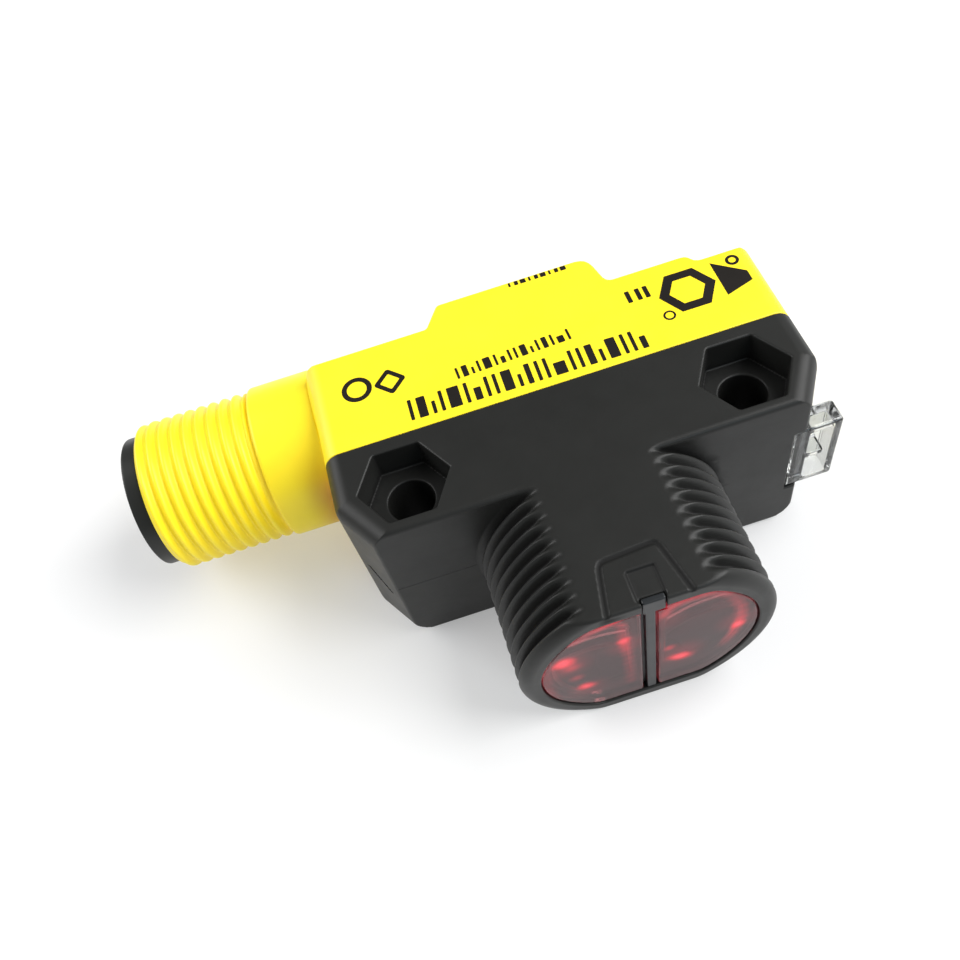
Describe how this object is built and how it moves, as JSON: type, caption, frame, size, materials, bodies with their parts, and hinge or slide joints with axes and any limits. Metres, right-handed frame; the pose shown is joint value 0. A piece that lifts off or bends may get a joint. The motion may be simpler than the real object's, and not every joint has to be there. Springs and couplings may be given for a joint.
{
  "type": "photoelectric sensor",
  "caption": "Flat-sided barrel-nosed photoelectric sensor: black front housing with twin red lenses, yellow rear housing, side screw holes and a round threaded plug connector.",
  "frame": {"origin": "midway between the two screw holes, on the broad side that the sensor rests on", "axes": "+Z through the thickness, towards the printed side with the nut pockets; +X along the body, from the plug connector to the indicator window; the lens nose points along -Y"},
  "size_m": [0.0504, 0.0308, 0.015],
  "materials": {
    "housing_black": "fine-textured satin moulded plastic, charcoal black",
    "housing_yellow": "satin moulded plastic, bright lemon yellow, with black pad-printed marks",
    "insert_black": "satin moulded plastic, black",
    "contact_gold": "gold-plated brass",
    "wire_brown": "soft wire sheath, brown",
    "wire_white": "soft wire sheath, white",
    "wire_blue": "soft wire sheath, blue",
    "wire_black": "soft wire sheath, black",
    "potting": "cured potting resin, dark",
    "barrier_grey": "satin moulded plastic, dark blue-grey",
    "lens_red": "clear red-tinted acrylic, polished",
    "board_green": "green solder mask over glass-fibre laminate",
    "led_red": "red-tinted clear epoxy",
    "ic_black": "black moulded semiconductor package",
    "shield_tin": "tin-plated sheet steel",
    "capacitor": "moulded tantalum capacitor, ochre",
    "led_green": "green-tinted clear epoxy",
    "led_yellow": "yellow-tinted clear epoxy",
    "window_clear": "clear colourless acrylic, polished",
    "pot_blue": "moulded plastic, blue",
    "adjuster_white": "satin moulded plastic, off-white",
    "seal_rubber": "nitrile rubber, black"
  },
  "bodies": {
    "sensor_body": {"front_housing": "housing_black", "rear_housing": "housing_yellow", "connector_shell": "housing_yellow", "connector_insert": "insert_black", "contact_pin_1": "contact_gold", "contact_pin_2": "contact_gold", "contact_pin_3": "contact_gold", "contact_pin_4": "contact_gold", "wire_brown": "wire_brown", "wire_white": "wire_white", "wire_blue": "wire_blue", "wire_black": "wire_black", "potting_plug": "potting", "optical_barrier": "barrier_grey", "emitter_lens": "lens_red", "receiver_lens": "lens_red", "optics_carrier": "insert_black", "optics_board": "board_green", "emitter_led": "led_red", "receiver_photodiode": "ic_black", "receiver_shield": "shield_tin", "board_link_pins": "contact_gold", "main_board": "board_green", "sensor_asic": "ic_black", "voltage_regulator": "ic_black", "output_transistors": "ic_black", "supply_capacitor": "capacitor", "chip_resistors": "ic_black", "power_led": "led_green", "output_led": "led_yellow", "indicator_lens": "window_clear", "gain_potentiometer": "pot_blue", "adjuster_seal": "seal_rubber"},
    "adjuster": {"gain_adjuster": "adjuster_white"}
  },
  "joints": [
    {"name": "gain_turn", "type": "hinge", "parent": "sensor_body", "child": "adjuster", "pos_m": [-0.0006, 0.01455, 0.0075], "axis": [0, 1, 0], "range_deg": [-135, 135]}
  ]
}
